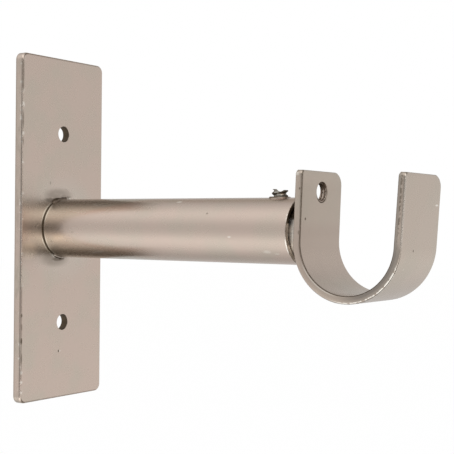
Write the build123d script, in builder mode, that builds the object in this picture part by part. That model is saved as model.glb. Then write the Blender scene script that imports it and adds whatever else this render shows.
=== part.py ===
"""Telescoping curtain pole bracket: wall plate, outer tube, clamp screw, and a pole cup on a sliding stem.

The origin is the middle of the plate's back, which lies on the wall. The wall is towards +Y, up is +Z,
and the bracket reaches out along -Y. Sizes are in millimetres.
"""

import os
from math import cos, radians, sin

from build123d import *

# Wall plate, a length of flat bar
plate_height = 117.0
plate_width = 40.0
plate_thickness = 3.0
plate_corner_radius = 2.5
plate_edge_radius = 0.8
wall_hole_diameter = 5.5
wall_hole_spacing = 65.0

# Outer tube, welded square to the plate
tube_diameter = 20.0
tube_wall = 1.2
tube_length = 96.5
tube_rim_rounding = 0.3

# Tack welds above and below the tube, where it meets the plate
tack_length = 8.0
tack_height = 1.0
tack_end_rounding = 0.8

# Clamp screw with its threaded bush, which is drawn through the tube's wall
screw_diameter = 5.0
screw_length = 5.0
screw_from_rim = 8.15
screw_point_chamfer = 0.6
screw_head_chamfer = 0.25
screw_running_clearance = 0.05
screw_point_clearance = 0.15
bush_wall = 0.8
bush_lip_height = 0.25
bush_depth = 0.9
bush_lip_bevel = 0.2

# Driver slot of the clamp screw, worn to an open V
slot_angle = 32.0
slot_depth = 0.85
slot_left_edge = 1.45
slot_bottom_offset = 0.25
slot_right_depth = 0.25

# Stem, which slides in the tube and is pressed to the bottom of its bore
stem_diameter = 16.0
stem_wall = 1.2
stem_length = 85.0
stem_bore_clearance = 0.15
stem_weld_leg = 0.9

# Pole cup, a flat strip bent to a U
strip_width = 23.5
strip_thickness = 2.3
strip_edge_bevel = 0.35
cup_inner_radius = 14.6
cup_gap = 3.6
bend_drop = 3.1
rear_leg_lean = 2.1
front_leg_lean = 3.8
rear_leg_height = 20.1
front_leg_height = 20.5
near_corner_radius = 1.3
far_corner_radius = 4.0
cup_hole_diameter = 6.0
cup_hole_from_tip = 6.1
cup_hole_chamfer = 0.25

# Places that follow from the sizes
plate_front = -plate_thickness
tube_radius = tube_diameter / 2
bore_radius = tube_radius - tube_wall
tube_rim = plate_front - tube_length
screw_y = tube_rim + screw_from_rim
stem_radius = stem_diameter / 2
stem_z = -(bore_radius - stem_radius - stem_bore_clearance)
screw_point_z = stem_z + stem_radius + screw_point_clearance
screw_head_z = screw_point_z + screw_length
cup_outer_radius = cup_inner_radius + strip_thickness
cup_back = tube_rim - cup_gap

# The rear leg's outer face leans away from the wall at the top and meets the tube's axis at cup_back
rear_normal = Vector(0, cos(radians(rear_leg_lean)), sin(radians(rear_leg_lean)))
leg_back_plane = Plane(origin=(0, cup_back, 0), x_dir=(1, 0, 0), z_dir=rear_normal)
bend_z = -bend_drop
bend_y = cup_back - (cup_outer_radius - bend_drop * rear_normal.Z) / rear_normal.Y

os.makedirs("parts", exist_ok=True)


# Wall plate: flat bar with rounded corners, a softened front edge and two screw holes
with BuildPart() as wall_plate:
    with BuildSketch(Plane.XZ):
        RectangleRounded(plate_width, plate_height, plate_corner_radius)
    extrude(amount=plate_thickness)
    front_edges = wall_plate.faces().sort_by(Axis.Y)[0].outer_wire().edges()
    fillet(front_edges, plate_edge_radius)
    with BuildSketch(Plane.XZ):
        with GridLocations(0, wall_hole_spacing, 1, 2):
            Circle(wall_hole_diameter / 2)
    extrude(amount=plate_thickness, mode=Mode.SUBTRACT)

wall_plate.part.label = "wall_plate"
export_step(wall_plate.part, "parts/wall_plate.step")


# Outer tube: drawn tube with a rounded rim and the drawn bush for the clamp screw
with BuildPart() as outer_tube:
    with BuildSketch(Plane.XZ.offset(plate_thickness)):
        Circle(tube_radius)
    extrude(amount=tube_length)
    with BuildSketch(Plane.XZ.offset(plate_thickness)):
        Circle(bore_radius)
    extrude(amount=tube_length, mode=Mode.SUBTRACT)
    rim_face = outer_tube.faces().sort_by(Axis.Y)[0]
    fillet(rim_face.outer_wire().edges(), tube_rim_rounding)

    bush_radius = screw_diameter / 2 + bush_wall
    bush_bottom = bore_radius - bush_depth
    bush_top = tube_radius + bush_lip_height
    with BuildSketch(Plane.XY.offset(bush_bottom)):
        with Locations((0, screw_y)):
            Circle(bush_radius)
    extrude(amount=bush_top - bush_bottom)
    lip_edge = outer_tube.faces().sort_by(Axis.Z)[-1].outer_wire().edges()
    chamfer(lip_edge, bush_lip_bevel)
    with BuildSketch(Plane.XY.offset(bush_bottom)):
        with Locations((0, screw_y)):
            Circle(screw_diameter / 2 + screw_running_clearance)
    extrude(amount=bush_top - bush_bottom, mode=Mode.SUBTRACT)

outer_tube.part.label = "outer_tube"
export_step(outer_tube.part, "parts/outer_tube.step")


# Tack welds: two beads in the corner between the tube and the plate
with BuildPart() as tube_tack_welds:
    for side in (1, -1):
        with BuildSketch(Plane.YZ):
            with Locations((plate_front, side * tube_radius)):
                Circle(tack_height)
        extrude(amount=tack_length / 2, both=True)
    fillet(tube_tack_welds.faces().filter_by(Axis.X).edges(), tack_end_rounding)
    with BuildSketch(Plane.XZ.offset(plate_thickness)):
        Circle(tube_radius)
    extrude(amount=2 * tack_height, mode=Mode.SUBTRACT)
    with BuildSketch(Plane.XZ):
        Rectangle(plate_width, plate_height)
    extrude(amount=plate_thickness, mode=Mode.SUBTRACT)

tube_tack_welds.part.label = "tube_tack_welds"
export_step(tube_tack_welds.part, "parts/tube_tack_welds.step")


# Clamp screw: headless screw with a pointed-off end and a worn driver slot
with BuildPart() as clamp_screw:
    with BuildSketch(Plane.XY.offset(screw_point_z)):
        with Locations((0, screw_y)):
            Circle(screw_diameter / 2)
    extrude(amount=screw_length)
    chamfer(clamp_screw.faces().sort_by(Axis.Z)[0].edges(), screw_point_chamfer)
    chamfer(clamp_screw.faces().sort_by(Axis.Z)[-1].edges(), screw_head_chamfer)
    slot_across = Vector(sin(radians(slot_angle)), -cos(radians(slot_angle)), 0)
    slot_plane = Plane(
        origin=(0, screw_y, screw_head_z), x_dir=slot_across, z_dir=slot_across.cross(Vector(0, 0, 1))
    )
    with BuildSketch(slot_plane):
        with BuildLine():
            Polyline(
                (-slot_left_edge, slot_depth),
                (-slot_left_edge, 0),
                (-slot_bottom_offset, -slot_depth),
                (screw_diameter / 2, -slot_right_depth),
                (screw_diameter, -slot_right_depth),
                (screw_diameter, slot_depth),
                close=True,
            )
        make_face()
    extrude(amount=screw_diameter, both=True, mode=Mode.SUBTRACT)

clamp_screw.part.label = "clamp_screw"
export_step(clamp_screw.part, "parts/clamp_screw.step")


# Stem: smaller tube, cut to the lean of the cup's rear leg
with BuildPart() as stem:
    stem_inner_end = cup_back + stem_length
    with BuildSketch(Plane.XZ.offset(-stem_inner_end)):
        with Locations((0, stem_z)):
            Circle(stem_radius)
            Circle(stem_radius - stem_wall, mode=Mode.SUBTRACT)
    extrude(amount=stem_length + strip_thickness)
    split(bisect_by=leg_back_plane, keep=Keep.TOP)

stem.part.label = "stem"
export_step(stem.part, "parts/stem.step")


# Stem weld: a bead round the stem on the rear leg's outer face
with BuildPart() as stem_weld:
    stem_axis = Axis((0, cup_back, stem_z), (0, 1, 0))
    with BuildSketch(Plane.YZ):
        with BuildLine():
            Polyline(
                (cup_back + stem_weld_leg, stem_z + stem_radius),
                (cup_back, stem_z + stem_radius + stem_weld_leg),
                (cup_back - stem_weld_leg, stem_z + stem_radius + stem_weld_leg),
                (cup_back - stem_weld_leg, stem_z + stem_radius),
                close=True,
            )
        make_face()
    revolve(axis=stem_axis, revolution_arc=360)
    split(bisect_by=leg_back_plane, keep=Keep.TOP)

stem_weld.part.label = "stem_weld"
export_step(stem_weld.part, "parts/stem_weld.step")


# Pole cup: strip bent to a U with leaning legs and a threaded hole in the rear leg. Each tip has one
# corner cut nearly square, on the -X side, and one well rounded
with BuildPart() as pole_cup:
    rear_angle = 90 + rear_leg_lean
    front_angle = 90 + front_leg_lean
    bend_start = front_angle + 90
    bend_sweep = 360 + rear_leg_lean - bend_start
    with BuildSketch(Plane.YZ):
        with BuildLine():
            inner_bend = CenterArc((bend_y, bend_z), cup_inner_radius, bend_start, bend_sweep)
            outer_bend = CenterArc((bend_y, bend_z), cup_outer_radius, bend_start, bend_sweep)
            front_inner = PolarLine(inner_bend @ 0, front_leg_height, front_angle)
            front_outer = PolarLine(outer_bend @ 0, front_leg_height, front_angle)
            rear_inner = PolarLine(inner_bend @ 1, rear_leg_height, rear_angle)
            rear_outer = PolarLine(outer_bend @ 1, rear_leg_height, rear_angle)
            Line(front_inner @ 1, front_outer @ 1)
            Line(rear_inner @ 1, rear_outer @ 1)
        make_face()
    extrude(amount=strip_width / 2, both=True)
    near_corners = pole_cup.edges().filter_by(
        lambda edge: abs(edge.length - strip_thickness) < 0.01 and edge.center().X < -strip_width / 4
    )
    fillet(near_corners, near_corner_radius)
    far_corners = pole_cup.edges().filter_by(
        lambda edge: abs(edge.length - strip_thickness) < 0.01 and edge.center().X > strip_width / 4
    )
    fillet(far_corners, far_corner_radius)
    side_edges = pole_cup.faces().filter_by(Axis.X).edges()
    chamfer(side_edges, strip_edge_bevel)
    hole_height = rear_leg_height - cup_hole_from_tip
    hole_point = Plane.YZ.from_local_coords(rear_inner @ (hole_height / rear_leg_height))
    hole_plane = Plane(origin=hole_point, x_dir=(1, 0, 0), z_dir=rear_normal)
    with BuildSketch(hole_plane):
        Circle(cup_hole_diameter / 2)
    extrude(amount=strip_thickness, mode=Mode.SUBTRACT)
    hole_rims = pole_cup.edges().filter_by(GeomType.CIRCLE).filter_by(
        lambda edge: abs(edge.radius - cup_hole_diameter / 2) < 0.01
    )
    chamfer(hole_rims, cup_hole_chamfer)

pole_cup.part.label = "pole_cup"
export_step(pole_cup.part, "parts/pole_cup.step")
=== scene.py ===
"""A satin nickel curtain pole bracket: wall plate, tube, clamp screw, sliding stem and pole cup.

Sizes and the places of marks are in millimetres, in the frame of the CAD: the wall is towards +Y and up is
+Z. Left means towards -X, and outward means away from the wall, towards -Y.
"""

import bmesh
import bpy
import numpy as np
from mathutils import Matrix, Vector


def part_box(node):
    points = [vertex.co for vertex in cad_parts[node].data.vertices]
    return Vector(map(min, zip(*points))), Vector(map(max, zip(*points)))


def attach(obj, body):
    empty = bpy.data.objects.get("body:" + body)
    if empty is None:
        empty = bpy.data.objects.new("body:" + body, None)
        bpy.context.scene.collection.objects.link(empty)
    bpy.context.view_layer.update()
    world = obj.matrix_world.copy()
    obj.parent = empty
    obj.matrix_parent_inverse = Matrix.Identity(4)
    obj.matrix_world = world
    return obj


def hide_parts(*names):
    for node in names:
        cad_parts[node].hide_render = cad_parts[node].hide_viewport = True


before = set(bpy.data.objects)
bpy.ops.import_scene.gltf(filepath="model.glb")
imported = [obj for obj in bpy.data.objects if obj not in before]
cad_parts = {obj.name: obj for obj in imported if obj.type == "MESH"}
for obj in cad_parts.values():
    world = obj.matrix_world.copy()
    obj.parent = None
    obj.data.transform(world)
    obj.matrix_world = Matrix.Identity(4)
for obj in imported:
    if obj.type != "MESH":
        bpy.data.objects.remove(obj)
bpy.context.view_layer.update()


# Wall plate
# A length of rolled flat bar in mild steel, sheared and then tumbled, with two plain holes drilled through.
# It is plated in satin nickel, and its left front edge is knocked about: bright chips and dark rubbed dashes.
# Painted shade darkens its holes and the corner round the tube, painted highlights ring the joint, sit by the
# pit and at the top corner, and a painted straw reflection lies to the left below the joint.
class Wire:
    """One output socket of a node tree. Arithmetic on it adds Math nodes, and node() adds any other kind."""

    def __init__(self, tree, socket=None):
        self.tree = tree
        self.socket = socket

    def node(self, kind, settings=None, sockets=None, output=0):
        """Adds a node: its settings first, a ramp's stops too, then a value or link for each socket."""
        made = self.tree.nodes.new(kind)
        for name, value in (settings or {}).items():
            if name == "stops":
                elements = made.color_ramp.elements
                elements[0].position, elements[1].position = value[0][0], value[-1][0]
                for position, _ in value[1:-1]:
                    elements.new(position)
                for element, (_, colour) in zip(elements, value):
                    element.color = (*colour, 1)
            else:
                setattr(made, name, value)
        for name, value in (sockets or {}).items():
            socket = made.inputs[name]
            if isinstance(value, Wire):
                self.tree.links.new(value.socket, socket)
            else:
                socket.default_value = value
        return Wire(self.tree, made.outputs[output])

    def math(self, operation, *values):
        return self.node("ShaderNodeMath", {"operation": operation}, dict(enumerate(values)))

    def __add__(self, other):
        return self.math("ADD", self, other)

    def __radd__(self, other):
        return self.math("ADD", other, self)

    def __sub__(self, other):
        return self.math("SUBTRACT", self, other)

    def __rsub__(self, other):
        return self.math("SUBTRACT", other, self)

    def __mul__(self, other):
        return self.math("MULTIPLY", self, other)

    def __rmul__(self, other):
        return self.math("MULTIPLY", other, self)

    def __truediv__(self, other):
        return self.math("DIVIDE", self, other)

    def __abs__(self):
        return self.math("ABSOLUTE", self)

    def highest(self, other):
        return self.math("MAXIMUM", self, other)

    def hypotenuse(self, other):
        """The distance from an axis, of a point with these two wires as its distances along the other two."""
        return self.math("SQRT", self * self + other * other)

    def rise(self, low, high):
        """0 below low, 1 above high, and a smooth step between; it falls instead where low is above high."""
        bounds = {"From Min": min(low, high), "From Max": max(low, high)}
        smooth = {"interpolation_type": "SMOOTHSTEP"}
        step = self.node("ShaderNodeMapRange", smooth, {"Value": self, **bounds})
        return 1 - step if low > high else step

    def within(self, low, high, soft):
        """1 between low and high and 0 outside, with edges of width soft."""
        return self.rise(low - soft, low) * self.rise(high + soft, high)

    def noise(self, scale, detail=3.0, stretch=(1, 1, 1)):
        """Cloud noise from 0 to 1 at a position, with scale cycles a metre, drawn out by a small stretch."""
        place = self.node("ShaderNodeMapping", None, {"Vector": self, "Scale": stretch})
        return self.node("ShaderNodeTexNoise", None, {"Vector": place, "Scale": scale, "Detail": detail})

    def blend(self, first, second):
        """The colour first where this wire is 0 and second where it is 1."""
        sockets = {0: self, 6: first, 7: second}
        return self.node("ShaderNodeMix", {"data_type": "RGBA", "clamp_factor": True}, sockets, 2)

    def spot(self, centre, radii):
        """1 in the middle third of an ellipsoid round a centre, and falling to 0 at its surface."""
        centre, radii = Vector(centre) / 1000, Vector(radii) / 1000
        offset = self.node("ShaderNodeVectorMath", {"operation": "SUBTRACT"}, {0: self, 1: centre})
        scaled = self.node("ShaderNodeVectorMath", {"operation": "DIVIDE"}, {0: offset, 1: radii})
        length = self.node("ShaderNodeVectorMath", {"operation": "LENGTH"}, {0: scaled}, "Value")
        return length.rise(1.0, 0.35)

    def spots(self, marks):
        """The highest of several spots, each a centre, its radii and its strength."""
        masks = [self.spot(centre, radii) * strength for centre, radii, strength in marks]
        total = masks[0]
        for mask in masks[1:]:
            total = total.highest(mask)
        return total

    def axes(self, scale=1000.0):
        """The x, y and z wires of a position, from metres to millimetres unless another scale is given."""
        split = self.node("ShaderNodeSeparateXYZ", None, {0: self}).socket.node
        return [Wire(self.tree, socket) * scale for socket in split.outputs]


NICKEL = (0.625, 0.508, 0.437, 1)
NICKEL_GREEN = (0.59, 0.507, 0.43, 1)
# The heat colour is also a painted tint that cools the warm reflections between the parts near the welds
HEAT_AND_REFLECTION_TINT = (0.615, 0.558, 0.49, 1)
# A bright straw colour painted as a warm reflection on the plate
PAINTED_REFLECTION_STRAW = (0.84, 0.70, 0.57, 1)
BARE_METAL_AND_HIGHLIGHT = (0.96, 0.91, 0.83, 1)
DARK_MARK_AND_SHADE = (0.09, 0.065, 0.04, 1)
# Cycles a metre of the plating's noises
CLOUDS, SMEARS, BLASTED_GRAIN = 90.0, 260.0, 5200.0
# The depth of its relief in metres, its strength, and how many times that depth the grain and the hollows are
RELIEF_DEPTH = 0.00002
RELIEF_STRENGTH = 0.12
GRAIN_HEIGHT, HOLLOW_HEIGHT = 0.10, 6.0


def satin_nickel(name, wear, roughness=0.22, shades=(NICKEL, NICKEL_GREEN), tints=()):
    """Satin nickel plate: a warm grey metal with faint clouding and a fine blasted grain, and wear, painted
    highlights and painted shade over it.

    wear is a function that takes a position and returns three masks: bright, for metal rubbed bright and for
    painted highlights; dark, for dark marks and painted shade; and hollow. Each tint is such a function for
    one mask, with the colour that the plate has there.
    """
    material = bpy.data.materials.new(name)
    material.use_nodes = True
    tree = material.node_tree
    shader = tree.nodes["Principled BSDF"]
    here = Wire(tree)
    place = here.node("ShaderNodeTexCoord", None, None, "Object")
    cloud = place.noise(CLOUDS)
    smear = place.noise(SMEARS, 4.0, (1.0, 0.4, 1.0))
    grain = place.noise(BLASTED_GRAIN, 2.0)
    bright, dark, hollow = wear(place)
    colour = cloud.rise(0.40, 0.70).blend(*shades)
    for tinted, shade in tints:
        colour = tinted(place).blend(colour, shade)
    colour = dark.blend(bright.blend(colour, BARE_METAL_AND_HIGHLIGHT), DARK_MARK_AND_SHADE)
    rough = roughness + 0.07 * smear + 0.03 * cloud - 0.06 * bright + 0.25 * dark
    height = GRAIN_HEIGHT * grain - HOLLOW_HEIGHT * hollow
    tree.links.new(colour.socket, shader.inputs["Base Color"])
    tree.links.new(rough.socket, shader.inputs["Roughness"])
    shader.inputs["Metallic"].default_value = 1.0
    relief = {"Strength": RELIEF_STRENGTH, "Distance": RELIEF_DEPTH, "Height": height}
    bump = here.node("ShaderNodeBump", None, relief)
    tree.links.new(bump.socket, shader.inputs["Normal"])
    return material


SAME_POINT = 0.000001
SHARP_DEGREES = 50


def dress(node, material):
    """Gives a CAD node its material and soft shading that stays crisp at its sharp edges."""
    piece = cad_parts[node]
    piece.data.materials.clear()
    piece.data.materials.append(material)
    piece.data.polygons.foreach_set("use_smooth", [True] * len(piece.data.polygons))
    weld = piece.modifiers.new("joined faces", "WELD")
    weld.merge_threshold = SAME_POINT
    crisp = piece.modifiers.new("crisp edges", "EDGE_SPLIT")
    crisp.split_angle = np.radians(SHARP_DEGREES)
    even = piece.modifiers.new("even shading", "WEIGHTED_NORMAL")
    even.keep_sharp = True
    return piece


PLATE_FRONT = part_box("wall_plate")[0][1] * 1000
PLATE_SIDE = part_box("wall_plate")[1][0] * 1000
PLATE_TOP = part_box("wall_plate")[1][2] * 1000
WALL_HOLES = 32.5
HOLE_RADIUS = 2.75
TUBE_RADIUS = 10.0
# Along the left front edge: height of each mark's middle, half its length, and its strength. The chip at
# 56.6, by the top corner, is a painted highlight.
EDGE_CHIPS = [(56.6, 2.2, 0.9), (46.0, 1.2, 0.35), (40.8, 1.7, 0.65), (31.5, 0.9, 0.45), (21.9, 0.8, 0.6),
              (11.6, 0.7, 0.7), (3.0, 0.5, 0.35), (-8.5, 0.6, 0.4), (-19.0, 0.9, 0.4), (-48.0, 0.9, 0.7),
              (-51.3, 0.7, 0.6), (-54.0, 1.6, 0.9)]
EDGE_DASHES = [(51.8, 4.6, 0.42), (36.0, 4.0, 0.5), (29.0, 2.0, 0.4), (8.0, 2.5, 0.3), (-29.1, 1.0, 0.8),
               (-33.0, 2.0, 0.55), (-37.6, 1.8, 0.85), (-43.5, 3.2, 0.6)]
# Spots, each a centre, its radii and its strength. The burn marks by the beads also paint shade in the corner
# beside the tube.
BEAD_BURNS_AND_SHADE = [
    ((-6.0, PLATE_FRONT, 9.6), (4.0, 0.6, 1.3), 0.55),
    ((0.8, PLATE_FRONT, 11.0), (4.6, 0.6, 0.9), 0.45),
    ((-2.5, PLATE_FRONT, 11.4), (8.5, 0.6, 3.0), 0.36),
    ((-3.2, PLATE_FRONT, 12.4), (1.6, 0.6, 1.2), 0.25),
    ((-6.4, PLATE_FRONT, 15.4), (0.45, 0.5, 0.8), 0.35),
    ((-2.6, PLATE_FRONT, -10.7), (5.0, 0.6, 1.1), 0.65),
    ((-4.0, PLATE_FRONT, -10.6), (8.5, 0.6, 3.4), 0.34),
]
NOZZLE_X, NOZZLE_Z, NOZZLE_RADIUS = 0.8, 11.2, 2.2
PIT_PLACE = (-1.75, PLATE_FRONT, -42.4)
# A painted glint beside the pit
PIT_GLINT_PLACE = (-1.1, PLATE_FRONT, -42.4)


def edge_marks(place, marks, inset, width, depth):
    """Spots along the plate's left front edge, at each mark's height, with its half length and strength."""
    spots = []
    for height, half, strength in marks:
        centre = (inset - PLATE_SIDE, PLATE_FRONT + 0.1, height)
        spots.append((centre, (width, depth, half), strength))
    return place.spots(spots)


def joint_marks(place):
    """Round the tube's joint: a thin pale ring painted as the joint's highlight, and dark where the beads and
    the torch's nozzle left burns, which also paint shade in the corner beside the tube.
    """
    x, y, z = place.axes()
    on_front = y.rise(PLATE_FRONT + 0.3, PLATE_FRONT + 0.1)
    above_and_below = z.rise(1.0, 4.0).highest(z.rise(-2.0, -4.5))
    pale_ring_highlight = (x.hypotenuse(z) - TUBE_RADIUS).within(0.12, 0.8, 0.12) * x.rise(2.0, -4.0) * on_front
    pale_ring_highlight = pale_ring_highlight * (above_and_below * 0.85 + 0.15) * z.rise(9.0, 8.0)
    from_nozzle = (x - NOZZLE_X).hypotenuse(z - NOZZLE_Z)
    nozzle_ring = from_nozzle.within(NOZZLE_RADIUS, NOZZLE_RADIUS + 0.15, 0.15) * on_front
    nozzle_ring = nozzle_ring * x.rise(0.0, 1.0) * z.rise(10.6, 11.2)
    burn_and_shade = place.spots(BEAD_BURNS_AND_SHADE) * place.noise(900.0).rise(0.10, 0.45)
    return pale_ring_highlight, burn_and_shade.highest(nozzle_ring * 0.25)


def hole_painted_shade(place):
    """Painted shade: dark inside each small hole."""
    x, y, z = place.axes()
    from_hole = x.hypotenuse(abs(z) - WALL_HOLES)
    in_hole = from_hole.rise(HOLE_RADIUS + 0.12, HOLE_RADIUS + 0.02)
    return in_hole * y.rise(PLATE_FRONT + 0.05, PLATE_FRONT + 0.35)


def plate_wear_and_painted_light(place):
    """Chips, dashes and a rubbed line on the left front edge, scuffed rims, dull cut sides, one pit with a
    painted glint beside it, the joint's marks, and painted shade in the holes.
    """
    x, y, z = place.axes()
    ragged = place.noise(700.0, 3.0, (1, 1, 0.6)).rise(0.35, 0.55)
    chips = edge_marks(place, EDGE_CHIPS, 0.7, 0.7, 0.5)
    dashes = edge_marks(place, EDGE_DASHES, 0.6, 0.5, 0.45) * ragged.rise(-0.4, 0.6)
    edge_line = (x + PLATE_SIDE).within(0.25, 0.7, 0.2) * y.rise(PLATE_FRONT + 0.5, PLATE_FRONT + 0.3)
    edge_line = edge_line * (z.within(-49.5, -20.0, 2.0) * 0.30).highest(z.within(47.0, 55.0, 2.0) * 0.5)
    rims = abs(x).rise(PLATE_SIDE - 0.7, PLATE_SIDE - 0.2)
    rims = rims.highest(abs(z).rise(PLATE_TOP - 0.7, PLATE_TOP - 0.2))
    front_rim = rims * y.rise(PLATE_FRONT + 1.3, PLATE_FRONT + 0.4)
    back_rim = rims * y.rise(-0.75, -0.25)
    scuffs = front_rim * place.noise(420.0, 4.0).rise(0.60, 0.68)
    mottle = place.noise(520.0, 3.0, (1, 1, 0.5)).rise(0.45, 0.70)
    cut_sides = rims * y.rise(PLATE_FRONT + 0.3, PLATE_FRONT + 1.0) * (0.02 + 0.16 * mottle)
    pit = place.spot(PIT_PLACE, (0.5, 0.5, 0.55))
    pit_glint = place.spot(PIT_GLINT_PLACE, (0.35, 0.4, 0.4))
    pale_ring_highlight, burn_and_shade = joint_marks(place)
    bright = (chips * ragged).highest(scuffs * 0.6).highest(pit_glint * 0.7).highest(pale_ring_highlight * 0.9)
    dark = dashes.highest(cut_sides).highest(edge_line).highest(back_rim * 0.28)
    dark = dark.highest(burn_and_shade).highest(pit * 0.8).highest(hole_painted_shade(place) * 0.97)
    return bright, dark, pit.highest(chips * 0.4)


def plate_heat(place):
    """The weld's heat colour on the plate's front, fading out round the tube."""
    x, y, z = place.axes()
    return x.hypotenuse(z).rise(21.0, 12.0) * y.rise(PLATE_FRONT + 1.5, PLATE_FRONT + 0.5) * 0.5


def plate_painted_reflection(place):
    """A faint bright straw colour painted to the left below the joint, as a warm reflection there."""
    return place.spot((-16.3, PLATE_FRONT, -7.6), (5.0, 0.8, 3.8)) * 0.7


plate_tints = [(plate_heat, HEAT_AND_REFLECTION_TINT), (plate_painted_reflection, PAINTED_REFLECTION_STRAW)]
wall_plate = dress("wall_plate", satin_nickel("satin_nickel_plate", plate_wear_and_painted_light, tints=plate_tints))


# Outer tube
# Drawn steel tube, butted square to the plate, with its rim rounded and a bush drawn up through its top wall
# for the clamp screw. Plating leaves a dark seam at the joint, and its cut end is dull and ragged. Painted
# shade darkens the bore, the cut end above, the crevice at the stem and the bush, and a painted highlight
# runs on the rim's rounded edge. Near the plate the weld's heat colour is also a painted tint that cools warm
# reflections.
TUBE_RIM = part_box("outer_tube")[0][1] * 1000
BORE_RADIUS = 8.8
TUBE_WORN_LINE = 8.4
SCREW_Y = (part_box("clamp_screw")[0][1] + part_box("clamp_screw")[1][1]) * 500
BUSH_RADIUS = 3.3
# Screw and bush carry their painted shade, greasy patches, wear and painted gleam along a level line this far
# round from outward
MARK_LINE_ANGLE = float(np.radians(34.8))
# Spots, each a centre, its radii and its strength
TUBE_CHIPS = [
    ((-4.91, -57.3, 8.71), (0.7, 1.5, 0.55), 0.9),
    ((-9.81, -79.7, -1.94), (0.6, 0.9, 0.4), 0.4),
    ((-7.87, -92.0, -6.17), (1.2, 1.8, 0.7), 0.28),
    ((-7.4, -95.2, -6.7), (1.2, 1.2, 0.35), 0.22),
]
TUBE_FLECKS = [
    ((-8.62, -70.7, 5.07), (0.45, 0.55, 0.45), 0.45),
    ((-8.9, -6.2, -4.4), (0.6, 0.7, 0.5), 0.25),
    ((-9.9, -16.5, -1.2), (0.4, 1.0, 0.5), 0.12),
]


def along_mark_line(x, y):
    """How far a point lies along the line of marks, from the screw's axis."""
    return x * float(np.sin(MARK_LINE_ANGLE)) - y * float(np.cos(MARK_LINE_ANGLE))


def cut_end_wear_and_shade(place):
    """The cut end: black above with painted shade, mottled in the middle, and clean below but for a ragged
    dark line of painted shade in the crevice at the stem.
    """
    x, y, z = place.axes()
    from_axis = x.hypotenuse(z)
    mottle = place.noise(1300.0)
    cut_end = y.rise(TUBE_RIM + 0.3, TUBE_RIM + 0.15) * from_axis.rise(TUBE_RADIUS - 0.10, TUBE_RADIUS - 0.26)
    # Painted shade, black on the cut end above
    black = z.rise(1.7, 2.4) * 0.98
    middle = z.within(-3.8, 1.9, 0.6) * (0.30 + 0.35 * mottle.rise(0.44, 0.56))
    # Painted shade in the crevice between the rim's inner lip and the stem
    line = z.rise(-1.0, -2.0) * from_axis.rise(TUBE_WORN_LINE + 0.3, TUBE_WORN_LINE)
    line = line * (0.15 + 0.6 * mottle.rise(0.40, 0.54))
    clean = z.rise(-3.8, -4.6) * from_axis.rise(TUBE_WORN_LINE + 0.2, TUBE_WORN_LINE + 0.5)
    ragged = y.rise(TUBE_RIM + 0.4, TUBE_RIM + 0.05) * mottle.rise(0.55, 0.62) * z.rise(-1.0, 2.0)
    dark = (cut_end * black.highest(middle).highest(line)).highest(ragged * 0.6)
    return cut_end * (clean * 0.5).highest(0.2), dark


def bush_painted_shade(place):
    """The bush: painted shade on its raised lip, deepest at one end of the line of marks and along its top,
    and the well round the screw dark, greasy and in painted shade.
    """
    x, y, z = place.axes()
    y = y - SCREW_Y
    from_screw = x.hypotenuse(y) - BUSH_RADIUS
    above_tube = z - TUBE_RADIUS
    lip_shade = 0.86 - 0.62 * along_mark_line(x, y).rise(-1.8, 1.6)
    lip_shade = lip_shade.highest(above_tube.rise(-0.1, 0.1) * 0.8)
    lip = from_screw.rise(0.3, -0.1) * above_tube.rise(-0.55, -0.1) * lip_shade
    return lip.highest(from_screw.rise(-0.1, -0.25) * above_tube.rise(-0.1, 0.1) * 0.85)


def tube_wear_and_painted_light(place):
    """A dark seam at the plate, the worn cut end and the bush with their painted shade, painted shade in the
    bore, a painted highlight on the rim's edge, and a few chips and flecks.
    """
    x, y, z = place.axes()
    from_axis = x.hypotenuse(z)
    seam = y.rise(PLATE_FRONT - 0.66, PLATE_FRONT - 0.40) * place.noise(1500.0).rise(0.05, 0.30)
    # Painted shade inside the bore
    bore = from_axis.rise(BORE_RADIUS + 0.2, BORE_RADIUS + 0.05) * y.rise(TUBE_RIM + 0.2, TUBE_RIM + 0.6)
    # A painted highlight, with some rubbing, on the rim's rounded outer edge, below and faintly above
    edge = y.within(TUBE_RIM - 0.1, TUBE_RIM + 0.4, 0.1)
    edge = edge * from_axis.rise(TUBE_RADIUS - 0.35, TUBE_RADIUS - 0.1)
    edge = edge * (z.within(-5.7, -3.2, 1.2) * 0.75).highest(z.within(3.4, 5.0, 0.8) * 0.3)
    chips = place.spots(TUBE_CHIPS)
    end_bright, end_dark = cut_end_wear_and_shade(place)
    dark = (seam * 0.98).highest(end_dark).highest(bore * 0.8)
    dark = dark.highest(place.spots(TUBE_FLECKS)).highest(bush_painted_shade(place))
    return chips.highest(edge).highest(end_bright), dark, chips * 0.3


def tube_heat_and_reflection_tint(place):
    """The weld's heat colour, also a painted tint that cools the warm reflections between tube and plate:
    beside the plate, reaching further above and below, and faint on the cut end.
    """
    _, y, z = place.axes()
    beside_plate = (y + 0.35 * z * z).rise(-14.0, -7.0) * (0.7 + 0.3 * abs(z).rise(1.0, 4.5))
    return beside_plate.highest(y.rise(TUBE_RIM + 0.4, TUBE_RIM + 0.2) * 0.4)


outer_tube = dress("outer_tube", satin_nickel("satin_nickel_tube", tube_wear_and_painted_light, tints=[(tube_heat_and_reflection_tint, HEAT_AND_REFLECTION_TINT)]))


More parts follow.
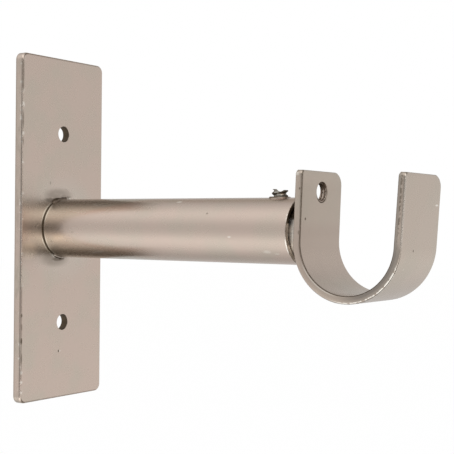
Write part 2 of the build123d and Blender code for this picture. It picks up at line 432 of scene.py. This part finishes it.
# Tack welds
# Two short beads laid by hand in the corner between tube and plate, above and below, lumpy and uneven.
# They are steel, plated over with the rest, with dark slag in their edges.
def skin(name, rings, poles=None):
    """A closed skin over rings of points, an array of rings by points by xyz, in millimetres.

    Each ring is joined to the next by four-sided faces. With poles the first and last rings close to a point,
    and without them the last ring joins the first, as on a hoop.
    """
    count, around = rings.shape[:2]
    ring = np.arange(count if poles is None else count - 1)[:, None]
    point = np.arange(around)[None, :]
    here = ring * around + point
    beside = ring * around + (point + 1) % around
    step = (ring + 1) % count * around - ring * around
    faces = np.stack([here, beside, beside + step, here + step], axis=-1).reshape(-1, 4).tolist()
    points = rings.reshape(-1, 3)
    if poles is not None:
        points = np.vstack([points, np.array(poles, dtype=float)])
        first, last = count * around, count * around + 1
        loop = np.arange(around)
        following = (loop + 1) % around
        faces += np.stack([np.full(around, first), following, loop], axis=-1).tolist()
        top = (count - 1) * around
        faces += np.stack([np.full(around, last), top + loop, top + following], axis=-1).tolist()
    mesh = bpy.data.meshes.new(name)
    mesh.from_pydata((points / 1000).tolist(), [], faces)
    built = bmesh.new()
    built.from_mesh(mesh)
    bmesh.ops.recalc_face_normals(built, faces=built.faces)
    built.to_mesh(mesh)
    built.free()
    mesh.polygons.foreach_set("use_smooth", [True] * len(mesh.polygons))
    piece = bpy.data.objects.new(name, mesh)
    bpy.context.scene.collection.objects.link(piece)
    return piece


def tack_bead(name, side, start, end, swell):
    """A bead whose middle runs round the tube at the plate, from one angle off the top to another.

    Its thickness follows the list swell, spread evenly along it, with a half round taper at both ends
    and a fine wave that turns as it goes along.
    """
    along = np.linspace(0.02, 0.98, 56)[:, None]
    across = np.linspace(0, 2 * np.pi, 20, endpoint=False)[None, :]
    lumps = np.interp(along, np.linspace(0, 1, len(swell)), swell) + 0.05 * np.sin(29.0 * along)
    thick = (lumps + 0.04 * np.sin(3 * across + 14 * along)) * np.sqrt(1 - (2 * along - 1) ** 6)
    angle = np.radians(start + (end - start) * along)
    reach = TUBE_RADIUS + 0.05 + thick * 0.95 * np.cos(across)
    depth = PLATE_FRONT - 0.05 + thick * 0.95 * np.sin(across)
    rings = np.stack([reach * np.sin(angle), depth + 0 * angle, side * reach * np.cos(angle)], axis=-1)
    stops = np.radians([start, end])
    ends = [TUBE_RADIUS * np.sin(stops), PLATE_FRONT + 0 * stops, side * TUBE_RADIUS * np.cos(stops)]
    return skin(name, rings, np.stack(ends, axis=-1))


def tack_wear_and_highlight(place):
    """Dark crusted slag, but for a clean end on the bead above, brightened as a painted highlight, and a
    clean thin line on the one below.
    """
    x, _, z = place.axes()
    off_tube = x.hypotenuse(z) - TUBE_RADIUS
    dirt = place.noise(1500.0, 4.0)
    end_above = x.within(1.2, 3.5, 0.3) * z.rise(0.0, 1.0) * off_tube.within(0.15, 0.8, 0.15)
    line_below = off_tube.within(0.15, 0.45, 0.1) * z.rise(0.0, -1.0) * x.rise(-4.8, -4.2)
    clean = end_above.highest(line_below * 0.5)
    crust = 0.72 + 0.25 * off_tube.rise(0.3, 0.6)
    return clean * dirt.rise(0.2, 0.4) * 0.7, (1 - clean) * crust * dirt.rise(0.15, 0.45), dirt * 0.4


tack_metal = satin_nickel("satin_nickel_tack", tack_wear_and_highlight, 0.32)
# Name, up or down, the angles off the top or bottom between which it runs, and its thickness along it
TACKS = [("tack_weld_above", 1, -33, 29, [0.8, 1.1, 0.8, 0.55, 0.65, 1.05, 1.0, 0.6]),
         ("tack_weld_below", -1, -27, 12, [0.5, 0.7, 0.75, 0.8, 0.7, 0.4, 0.3])]
for name, side, start, end, swell in TACKS:
    bead = tack_bead(name, side, start, end, swell)
    bead.data.materials.append(tack_metal)
    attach(bead, "wall_arm")
    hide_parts("tube_tack_welds")


# Clamp screw
# A headless steel screw with a coarse rolled thread, its driver slot chewed out to an open V with two horns.
# Its nickel is thin and the thread's roots are dark; its dark patches are partly greasy and partly painted
# shade, and it has a painted gleam on its side.
SCREW_LOW, SCREW_HIGH = [corner[2] * 1000 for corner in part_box("clamp_screw")]
THREAD_CREST, THREAD_ROOT, THREAD_PITCH = 2.48, 1.86, 1.6
# A crest of the thread stands at this height where the turn is this many degrees
CREST_HEIGHT, CREST_ANGLE = 11.25, 124.8
POINT_LENGTH, POINT_SHARE = 0.7, 0.78
SLOT_ANGLE = np.radians(32.0)
SLOT_ACROSS = [-2.5, -1.15, -0.95, -0.63, -0.33, 0.03, 0.45, 0.77, 1.08, 1.3, 2.5]
SLOT_DEPTH = [0.0, 0.0, -0.06, -0.45, -0.68, -0.78, -0.70, -0.52, -0.31, -0.26, -0.27]


def screw_rings():
    """Rings from the middle of the screw's foot out, up its side and in over its head.

    The radius is a rounded wave of the helix's phase, height over pitch less the turn, and it is less in
    the point at the foot. The head's height falls by the slot's depth, a given curve of the distance
    across the slot, and the side stops there.
    """
    turn = np.linspace(0, 2 * np.pi, 120, endpoint=False)[None, :]

    def head(x, y):
        across = np.sin(SLOT_ANGLE) * x - np.cos(SLOT_ANGLE) * y
        return SCREW_HIGH + np.interp(across, SLOT_ACROSS, SLOT_DEPTH)

    def radius(z):
        phase = (z - CREST_HEIGHT) / THREAD_PITCH - (turn - np.radians(CREST_ANGLE)) / (2 * np.pi)
        wave = np.abs((phase + 0.5) % 1.0 - 0.5) * 2
        fill = 0.5 + 0.5 * np.cos(np.pi * np.clip(wave / 0.92, 0, 1))
        above_point = np.clip((z - SCREW_LOW) / POINT_LENGTH, 0, 1)
        share = POINT_SHARE + (1 - POINT_SHARE) * above_point
        return (THREAD_ROOT + (THREAD_CREST - THREAD_ROOT) * fill) * share

    top = head(THREAD_ROOT * np.cos(turn), THREAD_ROOT * np.sin(turn)) - 0.02
    for _ in range(3):
        rim = radius(top)
        top = head(rim * np.cos(turn), rim * np.sin(turn))
    foot_reach = np.linspace(0.1, 0.9, 6)[:, None] * radius(np.full((1, 1), SCREW_LOW))
    foot_z = SCREW_LOW + 0 * foot_reach
    foot = np.stack([foot_reach * np.cos(turn), foot_reach * np.sin(turn), foot_z], axis=-1)
    z = SCREW_LOW + np.linspace(0, 1, 90)[:, None] * (top - SCREW_LOW)
    side = np.stack([radius(z) * np.cos(turn), radius(z) * np.sin(turn), z], axis=-1)
    inward = np.linspace(1, 0.04, 26)[1:, None]
    x, y = inward * rim * np.cos(turn), inward * rim * np.sin(turn)
    cap = np.stack([x, y, head(x, y)], axis=-1)
    poles = np.array([[0, 0, SCREW_LOW], [0, 0, head(0.0, 0.0)]])
    shift = np.array([0, SCREW_Y, 0])
    return np.concatenate([foot, side, cap]) + shift, poles + shift


def screw_wear_and_painted_light(place):
    """Dull in the roots; dark under the slot, on the horn, on one flank and at the foot, partly greasy and
    partly painted shade; and one painted gleam on its side.
    """
    x, y, z = place.axes()
    y = y - SCREW_Y
    along = along_mark_line(x, y)
    above_tube, above_crest = z - TUBE_RADIUS, z - CREST_HEIGHT
    crest = x.hypotenuse(y).rise(THREAD_CREST - 0.22, THREAD_CREST - 0.04)
    dirt = place.noise(1700.0)
    horn = along.rise(0.6, 1.6) * above_crest.rise(-0.4, 0.0) * 0.92
    under_slot = above_crest.within(0.1, 0.75, 0.15) * along.rise(-0.9, -0.4) * 0.85
    back_flank = along.rise(-1.6, -1.95) * 0.8
    roots = above_tube.within(0.52, 0.68, 0.07).highest(above_tube.rise(0.42, 0.34))
    roots = roots * along.rise(-1.2, -0.6) * 0.7
    front_foot = along.rise(1.2, 1.7) * above_tube.rise(0.95, 0.7) * 0.95
    grease_and_painted_shade = horn.highest(under_slot).highest(back_flank).highest(roots).highest(front_foot)
    gleam = above_tube.within(0.78, 1.18, 0.12) * along.within(-0.8, 0.7, 0.5)
    rubbed_flat = along.within(-1.4, -0.8, 0.2)
    dull = ((1 - crest) * (0.45 + 0.3 * dirt)).highest(rubbed_flat * (0.2 + 0.3 * dirt))
    bright = (gleam * 0.95).highest(crest * above_crest.rise(0.2, 0.0) * 0.3)
    return bright * (1 - grease_and_painted_shade), dull.highest(grease_and_painted_shade) * (1 - gleam), (1 - crest) * 0.1


SCREW_STEEL = (0.60, 0.59, 0.54, 1)
SCREW_STAIN = (0.52, 0.52, 0.46, 1)
screw = skin("threaded_clamp_screw", *screw_rings())
screw.data.materials.append(satin_nickel("screw_steel", screw_wear_and_painted_light, 0.24, (SCREW_STEEL, SCREW_STAIN)))
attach(screw, "screw")
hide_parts("clamp_screw")


# Stem
# A smaller drawn tube that slides in the outer one and carries the cup. Sliding has rubbed its plating
# lengthwise in fine streaks. Its outer end has the weld's heat colour, which is also a painted tint that
# cools the warm reflections there, and painted shade blackens it above, where it shows in the gap beside the
# tube's cut end.
STEM_RADIUS = 8.0
STEM_Z = (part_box("stem")[0][2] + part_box("stem")[1][2]) * 500
GAP_SHADE_FOOT = 3.2


def gap_painted_shade(place):
    """Painted shade: black above the middle of the stem's outer end, where it shows in the gap beside the
    tube's cut end.
    """
    _, y, z = place.axes()
    return z.rise(GAP_SHADE_FOOT, GAP_SHADE_FOOT + 0.5) * y.rise(TUBE_RIM + 3.0, TUBE_RIM + 1.0) * 0.96


def stem_wear_and_shade(place):
    _, y, z = place.axes()
    streaks = place.noise(1500.0, 3.0, (1, 0.03, 1))
    bare_end = y.rise(TUBE_RIM + 2.0, TUBE_RIM + 0.5) * z.rise(-3.2, -0.8) * 0.6
    rubbed = (0.04 + streaks.rise(0.50, 0.70) * 0.12).highest(bare_end) * z.rise(-6.0, -2.0)
    return rubbed, (streaks.rise(0.44, 0.32) * 0.15).highest(gap_painted_shade(place)), streaks * 0.02


# The weld's heat colour on the stem's outer end, also a painted tint that cools the warm reflections from cup
# and tube
def stem_heat_and_reflection_tint(place):
    _, y, _ = place.axes()
    return y.rise(TUBE_RIM + 2.5, TUBE_RIM + 0.5)


stem = dress("stem", satin_nickel("satin_nickel_stem", stem_wear_and_shade, 0.38, tints=[(stem_heat_and_reflection_tint, HEAT_AND_REFLECTION_TINT)]))


# Rim burr
# The lip that the cutter turned in at the tube's cut end. It closes the gap to the stem beside and below,
# and it is broken away above.
BURR_CLEARANCE = 0.07
# The angles that it covers round the axis, in degrees, and the depths of its section's points behind the rim
BURR_START, BURR_SWEEP = 163.0, 214.0
BURR_DEPTHS = np.array([[0.02, 0.04, 0.10, 0.24, 0.40, 0.62]])


def burr_rings():
    """Sections along the bore, from its left side under the stem to its right side, closed at both ends.

    The inner edge is the distance from the tube's axis to the stem's surface, plus a clearance and small
    waves, and it runs back to the bore at both ends. The section is a thin wedge, thicker at the bore.
    """
    along = np.linspace(0, 1, 150)[1:-1, None]
    angle = np.radians(BURR_START + BURR_SWEEP * along)
    to_stem = STEM_Z * np.sin(angle) + np.sqrt(STEM_RADIUS**2 - (STEM_Z * np.cos(angle)) ** 2)
    ragged = 0.05 * (1 + np.sin(61 * along)) + 0.04 * (1 + np.sin(143 * along + 1.0))
    ends = np.clip(np.minimum(along, 1 - along) / 0.03, 0, 1) ** 0.5
    inner = BORE_RADIUS - (BORE_RADIUS - to_stem - BURR_CLEARANCE - ragged) * ends
    outer = BORE_RADIUS + 0.05 + 0 * angle
    middle = (outer + inner) / 2
    reach = np.concatenate([outer, middle, inner, inner, middle, outer], axis=1)
    deep = TUBE_RIM + BURR_DEPTHS + 0 * angle
    rings = np.stack([reach * np.cos(angle), deep, reach * np.sin(angle)], axis=-1)
    stops = np.radians([BURR_START, BURR_START + BURR_SWEEP])
    poles = [outer[0, 0] * np.cos(stops), TUBE_RIM + 0.3 + 0 * stops, outer[0, 0] * np.sin(stops)]
    return rings, np.stack(poles, axis=-1)


burr = skin("rim_burr", *burr_rings())
burr.data.materials.append(outer_tube.data.materials[0])
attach(burr, "wall_arm")


# Stem weld
# A bead run all round the stem on the back of the cup, in overlapping ripples, and plated over.
# The cup's rear leg leans, so the bead does too.
CUP_GAP = 3.6
CUP_BACK = TUBE_RIM - CUP_GAP
REAR_LEAN = float(np.radians(2.1))
WELD_RIPPLES = 34


def weld_rings():
    """A hoop round the stem: a round section, swollen by a saw wave along it for each ripple of the bead."""
    turn = np.linspace(0, 2 * np.pi, 240, endpoint=False)[:, None]
    across = np.linspace(0, 2 * np.pi, 16, endpoint=False)[None, :]
    ripple = (turn * WELD_RIPPLES / (2 * np.pi)) % 1.0
    thick = 0.72 + 0.10 * ripple * (1 - ripple) * 4 + 0.05 * np.sin(3 * turn + 0.7) + 0.04 * np.sin(7 * turn)
    reach = STEM_RADIUS + 0.12 + thick * np.cos(across)
    x = reach * np.cos(turn)
    z = STEM_Z + reach * np.sin(turn)
    y = CUP_BACK - z * np.tan(REAR_LEAN) + 0.10 + thick * np.sin(across)
    return np.stack([x, y, z], axis=-1)


def weld_wear_and_shade(place):
    dirt = place.noise(1500.0, 4.0)
    # The bead's top near the gap takes a little of that painted shade
    dark = (dirt.rise(0.44, 0.36) * 0.4).highest(gap_painted_shade(place) * 0.3)
    return 0.35 + dirt.rise(0.55, 0.70) * 0.4, dark, dirt * 0.3


stem_weld = skin("stem_weld_bead", weld_rings())
stem_weld.data.materials.append(satin_nickel("satin_nickel_weld", weld_wear_and_shade, 0.30, (HEAT_AND_REFLECTION_TINT, NICKEL_GREEN)))
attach(stem_weld, "cup_arm")
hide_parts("stem_weld")


# Pole cup
# Flat steel strip bent to a U with its legs leaning, the tips rounded and a hole tapped through the rear leg.
# Its sheared sides are duller and pitted, and its left outer edge is rubbed bright round the lower bend.
# Painted shade greys the front half's sheared sides and darkens the rear leg's inside, and painted glints
# mark a few spots.
STRIP_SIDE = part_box("pole_cup")[1][0] * 1000
INNER_RADIUS, STRIP = 14.6, 2.3
FRONT_LEAN = float(np.radians(3.8))
# The bend's axis, placed so that the rear leg's back is at CUP_BACK at the height of the tube's axis
BEND_Z = -3.1
BEND_Y = CUP_BACK - (INNER_RADIUS + STRIP + BEND_Z * float(np.sin(REAR_LEAN))) / float(np.cos(REAR_LEAN))
# Spots, each a centre, its radii and its strength. The glints are painted highlights.
CUP_GLINTS = [
    ((-11.75, -104.2, 16.4), (0.5, 1.1, 0.7), 0.6),
    ((-11.75, -136.7, 16.4), (0.5, 1.0, 0.6), 0.6),
    ((-11.2, -138.0, 15.9), (0.45, 0.5, 0.4), 0.95),
    ((9.6, -137.6, 7.7), (1.4, 0.8, 0.35), 0.9),
    ((-7.0, -134.9, -10.0), (0.4, 0.8, 0.4), 0.6),
    ((-11.5, -125.6, -16.4), (0.6, 1.0, 0.6), 0.7),
]
CUP_MARKS = [
    ((-9.5, -136.8, 17.4), (2.6, 1.6, 0.35), 0.6),
    ((-10.6, -104.0, 17.1), (1.2, 1.4, 0.3), 0.6),
    ((-11.75, -135.6, 15.2), (0.4, 0.5, 0.5), 0.6),
    ((-11.75, -105.2, 12.2), (0.35, 0.4, 0.5), 0.7),
    ((-9.0, -105.4, 3.6), (0.55, 0.9, 0.6), 0.85),
    ((-6.6, -105.3, -0.15), (0.35, 0.9, 1.8), 0.18),
    ((-5.2, -105.3, -0.6), (0.3, 0.9, 1.6), 0.14),
    ((-11.75, -105.1, -0.3), (0.5, 0.6, 0.9), 0.5),
    ((5.2, -105.3, -2.0), (1.4, 0.9, 1.2), 0.12),
    ((-3.9, -137.0, -5.0), (0.45, 1.2, 0.5), 0.8),
]


def strip_depth(y, z):
    """How deep a point lies in the strip, from 0 at the U's inner face to the strip's thickness."""
    away_y, away_z = y - BEND_Y, z - BEND_Z
    rear = away_y * float(np.cos(REAR_LEAN)) + away_z * float(np.sin(REAR_LEAN))
    front = away_y * -float(np.cos(FRONT_LEAN)) - away_z * float(np.sin(FRONT_LEAN))
    legs = away_z.rise(-0.1, 0.1)
    return (1 - legs) * away_y.hypotenuse(away_z) + legs * rear.highest(front) - INNER_RADIUS


def sheared_side(x):
    """1 on the strip's two sheared sides, in to their bevels."""
    return abs(x).rise(STRIP_SIDE - 0.45, STRIP_SIDE - 0.15)


def front_half(y):
    """1 on the half of the U that is away from the wall."""
    return y.rise(BEND_Y + 4.0, BEND_Y - 6.0)


def left_edge_wear_and_glints(place, depth):
    """The left side's two edges: where they are rubbed bright, and the dark line along the inner one; with
    them come the painted glints.
    """
    x, y, z = place.axes()
    left = x.rise(0.9 - STRIP_SIDE, 0.3 - STRIP_SIDE)
    dots = place.noise(1000.0, 2.0)
    line = depth.within(0.0, 0.22, 0.1) * dots.rise(0.25, 0.40) * y.rise(BEND_Y - 1.0, BEND_Y + 2.0) * 0.6
    line = line.highest(depth.rise(0.5, 0.2) * front_half(y) * (0.38 + 0.2 * z.rise(4.0, -6.0)))
    lower_edge = depth.within(STRIP - 0.48, STRIP - 0.02, 0.1) * dots.rise(0.42, 0.50) * 0.9
    lower_edge = lower_edge * z.rise(-8.0, -10.5) * y.rise(BEND_Y + 6.0, BEND_Y)
    front_edge = depth.rise(STRIP - 0.5, STRIP - 0.3) * front_half(y) * z.rise(-6.0, -2.0) * 0.3
    inner_edge = depth.within(0.30, 0.46, 0.1) * z.rise(-8.0, -11.0)
    inner_edge = inner_edge * y.rise(BEND_Y + 2.0, BEND_Y + 6.0) * 0.5
    bright = left * lower_edge.highest(front_edge).highest(inner_edge)
    return bright.highest(place.spots(CUP_GLINTS) * dots.rise(0.30, 0.45)), left * line


def cup_wear_and_painted_light(place):
    """Worn edges and painted glints, two columns of pits on the sheared sides, painted shade on the rear
    leg's inside, and marks.
    """
    x, y, z = place.axes()
    depth = strip_depth(y, z)
    side = sheared_side(x)
    bright, line = left_edge_wear_and_glints(place, depth)
    columns = depth.within(0.95, 1.35, 0.2).highest(depth.within(1.6, 1.85, 0.12) * 0.45)
    specks = place.noise(1500.0, 1.0, (1, 1, 0.8)).rise(0.44, 0.56)
    pits = side * columns * specks * (0.12 + 0.44 * front_half(y)) * z.rise(-9.0, 2.0)
    rear_inside_shade = depth.rise(0.6, 0.2) * y.rise(BEND_Y, BEND_Y + 6.0)
    rear_inside_shade = rear_inside_shade * z.rise(-9.0, 0.0) * (1 - 0.5 * z.rise(12.0, 17.0))
    marks = place.spots(CUP_MARKS)
    dark = marks.highest(pits).highest(line).highest(side * 0.06).highest(rear_inside_shade * 0.13)
    return bright, dark, marks.highest(place.spots(CUP_GLINTS) * 0.3)


CUP_NICKEL = (0.572, 0.480, 0.405, 1)
CUP_GREEN = (0.548, 0.478, 0.40, 1)
CUP_WARM = (0.545, 0.448, 0.380, 1)
# The colour of the painted shade on the sheared sides
CUP_SHADE = (0.16, 0.155, 0.145, 1)


def warm_patch(place):
    """The warmer plate on the lower part of the rear leg."""
    _, y, z = place.axes()
    return y.rise(BEND_Y + 9.0, BEND_Y + 12.0) * z.within(-14.0, 0.0, 4.0)


def side_painted_shade(place):
    """Painted shade, grey on the front half's sheared sides, more so inward and below."""
    x, y, z = place.axes()
    depth = strip_depth(y, z)
    lower, inner = z.rise(-1.0, -7.0), depth.rise(1.3, 0.9)
    shade = (1 - lower) * inner * 0.36 + lower * (0.42 + 0.2 * inner)
    return sheared_side(x) * depth.rise(STRIP - 0.2, STRIP - 0.6) * front_half(y) * shade


cup_tints = [(warm_patch, CUP_WARM), (side_painted_shade, CUP_SHADE)]
cup_nickel = satin_nickel("satin_nickel_cup", cup_wear_and_painted_light, shades=(CUP_NICKEL, CUP_GREEN), tints=cup_tints)
pole_cup = dress("pole_cup", cup_nickel)


# Cup thread
# The thread tapped in the hole of the cup's rear leg, square to the leg. Its roots are dark, and painted
# shade darkens its upper half and dulls the rest.
UP_LEG = np.array([0, -np.sin(REAR_LEAN), np.cos(REAR_LEAN)])
OUT_OF_LEG = np.array([0, np.cos(REAR_LEAN), np.sin(REAR_LEAN)])
HOLE_UP_LEG = 14.0
TAPPED_CENTRE = np.array([0, BEND_Y, BEND_Z]) + (INNER_RADIUS + STRIP / 2) * OUT_OF_LEG + HOLE_UP_LEG * UP_LEG
TAPPED_ROOT, TAPPED_CREST, TAPPED_PITCH, TAPPED_LENGTH = 3.04, 2.52, 1.0, 2.0


def tapped_rings():
    """A hoop inside the hole: its section is a plain outer wall and an inner wall that waves with the helix.

    The inner radius is a trapezoid wave of the phase, depth over pitch plus the turn.
    """
    turn = np.linspace(0, 2 * np.pi, 140, endpoint=False)[:, None]
    half = TAPPED_LENGTH / 2
    depth = np.linspace(-half, half, 44)[None, :]
    phase = depth / TAPPED_PITCH + turn / (2 * np.pi) + 0.15
    wave = np.abs(phase % 1.0 - 0.5) * 2
    fill = np.clip((wave - 0.25) / 0.6, 0, 1)
    deepest = TAPPED_ROOT - 0.03
    inner = deepest - (deepest - TAPPED_CREST) * fill
    reach = np.concatenate([inner, np.full((len(turn), 2), TAPPED_ROOT + 0.02)], axis=1)
    along = np.concatenate([depth, np.array([[half, -half]])], axis=1) + 0 * turn
    spread = np.cos(turn)[..., None] * np.array([1.0, 0, 0]) + np.sin(turn)[..., None] * UP_LEG
    return TAPPED_CENTRE + reach[..., None] * spread + along[..., None] * OUT_OF_LEG


def tapped_wear_and_shade(place):
    x, _, z = place.axes()
    above = z - float(TAPPED_CENTRE[2])
    root = x.hypotenuse(above).rise(TAPPED_CREST + 0.16, TAPPED_ROOT - 0.12)
    none = root * 0.0
    # Painted shade darkens the upper half
    return none, (root * 0.92).highest(above.rise(-0.6, 1.6) * 0.8).highest(0.25), none


cup_thread = skin("cup_hole_thread", tapped_rings())
cup_thread.data.materials.append(satin_nickel("tapped_nickel", tapped_wear_and_shade, 0.30))
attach(cup_thread, "cup_arm")


# Studio
# A pale floor well below the bracket, and a soft white room. Two broad panels hang to the camera's side,
# above and below, the room goes on brightly past them towards the wall, and it is dimmer overhead and below.
FLOOR_DROP = 0.30
FLOOR_REACH = 6.0
FLOOR_PAINT = (0.88, 0.88, 0.88, 1)
FLOOR_ROUGHNESS = 0.9
# How brightly the floor shows to the camera and in reflections, and the share of its shading that is left
FLOOR_GLOW = 1.02
FLOOR_SHADE = 0.1
WHITE = (1, 1, 1, 1)
ROOM_LIGHT = (0.9, 0.9, 0.9, 1)
floor_mesh = bpy.data.meshes.new("floor")
corners = np.array([(-1, -1), (1, -1), (1, 1), (-1, 1)]) * FLOOR_REACH
floor_mesh.from_pydata([(a, b, -FLOOR_DROP) for a, b in corners], [], [(0, 1, 2, 3)])
floor = bpy.data.objects.new("floor", floor_mesh)
bpy.context.scene.collection.objects.link(floor)
floor_paint = bpy.data.materials.new("floor_paint")
floor_paint.use_nodes = True
tree = floor_paint.node_tree
paint = tree.nodes["Principled BSDF"]
paint.inputs["Base Color"].default_value = FLOOR_PAINT
paint.inputs["Roughness"].default_value = FLOOR_ROUGHNESS


def background_rays(tree):
    """Three wires, each 1 for one kind of ray that shows the background: camera, glossy and transmission."""
    here = Wire(tree)
    kinds = ("Camera", "Glossy", "Transmission")
    return [here.node("ShaderNodeLightPath", None, None, f"Is {kind} Ray") for kind in kinds]


camera_ray, glossy_ray, clear_ray = background_rays(tree)
shown = camera_ray.highest(glossy_ray).highest(clear_ray) * (1 - FLOOR_SHADE)
white = camera_ray.node("ShaderNodeEmission", None, {"Color": WHITE, "Strength": FLOOR_GLOW})
surface = tree.nodes.new("ShaderNodeMixShader")
tree.links.new(shown.socket, surface.inputs[0])
tree.links.new(paint.outputs[0], surface.inputs[1])
tree.links.new(white.socket, surface.inputs[2])
tree.links.new(surface.outputs[0], tree.nodes["Material Output"].inputs["Surface"])
floor_mesh.materials.append(floor_paint)
floor.visible_glossy = False

# Light level round the tube's axis, by the angle in degrees from -X, the camera's side, over the top
TOWARD_WALL = [
    (-180, 0.70), (-150, 0.72), (-138, 0.62), (-112, 0.58), (-100, 0.62), (-85, 0.75), (-66, 0.97),
    (-50, 1.08), (-38, 1.11), (-28, 1.02), (-18, 0.87), (-5, 0.75), (8, 0.72), (22, 0.75), (36, 0.87),
    (50, 0.99), (62, 1.02), (74, 0.96), (90, 0.80), (110, 0.62), (130, 0.43), (140, 0.45), (150, 0.62),
    (165, 0.64), (180, 0.68),
]
TOWARD_CAMERA = [
    (-180, 0.80), (-162, 0.90), (-144, 0.78), (-134, 0.24), (-116, 0.12), (-94, 0.30), (-76, 0.82),
    (-60, 1.40), (-47, 1.80), (-36, 1.72), (-22, 0.80), (-10, 0.26), (4, 0.20), (16, 0.48), (30, 0.98),
    (46, 1.50), (60, 1.60), (74, 1.20), (92, 0.52), (112, 0.20), (132, 0.16), (143, 0.60), (152, 0.74),
    (165, 0.76), (180, 0.78),
]
PANEL_EDGE = 88
DIM_LEVEL = 0.5
DIM_TINT = (1, 0.91, 0.80)


def ramp_stops(levels):
    """Stops for a ramp over the whole turn, at half strength. The dim bands past the panels are warmer."""
    stops = []
    for angle, level in levels:
        dim_band = abs(angle) > PANEL_EDGE and level < DIM_LEVEL
        tint = DIM_TINT if dim_band else (1, 1, 1)
        stops.append(((angle + 180) / 360, [level / 2 * part for part in tint]))
    return stops


world = bpy.data.worlds.new("studio")
bpy.context.scene.world = world
world.use_nodes = True
tree = world.node_tree
camera_ray, glossy_ray, clear_ray = background_rays(tree)
toward = camera_ray.node("ShaderNodeTexCoord", None, None, "Generated")
x, y, z = toward.axes(1.0)
angle = z.math("ARCTAN2", z, 0 - x) / (2 * np.pi) + 0.5
rear_room = angle.node("ShaderNodeValToRGB", {"stops": ramp_stops(TOWARD_WALL)}, {0: angle})
front_room = angle.node("ShaderNodeValToRGB", {"stops": ramp_stops(TOWARD_CAMERA)}, {0: angle})
room = y.rise(0.3, -0.3).blend(rear_room, front_room)
# A ramp holds no level above 1, so the room is doubled after it
doubling = {"data_type": "RGBA", "blend_type": "MULTIPLY"}
room = room.node("ShaderNodeMix", doubling, {0: 1.0, 6: room, 7: (2, 2, 2, 1)}, 2)
plain = glossy_ray.blend(ROOM_LIGHT, room)
backdrop = camera_ray.highest(clear_ray).blend(plain, WHITE)
background = tree.nodes["Background"]
tree.links.new(backdrop.socket, background.inputs["Color"])
background.inputs["Strength"].default_value = 1.0


# Camera
# An 85 mm view across the bracket from the left, level with the tube, fitted to the photograph's edges.
# Its place is in metres, and its right and up are the directions that they have in the picture.
PICTURE = 454
FOCAL_PIXELS = 1073.7
SENSOR = 36.0
CAMERA_PLACE = (-0.27323, -0.26181, 0.00177)
CAMERA_RIGHT = Vector((0.57028, -0.8214, 0.00923))
CAMERA_UP = Vector((-0.0034, 0.00888, 0.99995))
camera_data = bpy.data.cameras.new("camera")
camera_data.sensor_width = SENSOR
camera_data.lens = FOCAL_PIXELS / PICTURE * SENSOR
camera = bpy.data.objects.new("camera", camera_data)
camera_back = CAMERA_RIGHT.cross(CAMERA_UP)
turned = Matrix((CAMERA_RIGHT, CAMERA_UP, camera_back)).transposed().to_4x4()
camera.matrix_world = Matrix.Translation(CAMERA_PLACE) @ turned
bpy.context.scene.collection.objects.link(camera)
bpy.context.scene.camera = camera
bpy.context.scene.view_settings.view_transform = "Standard"
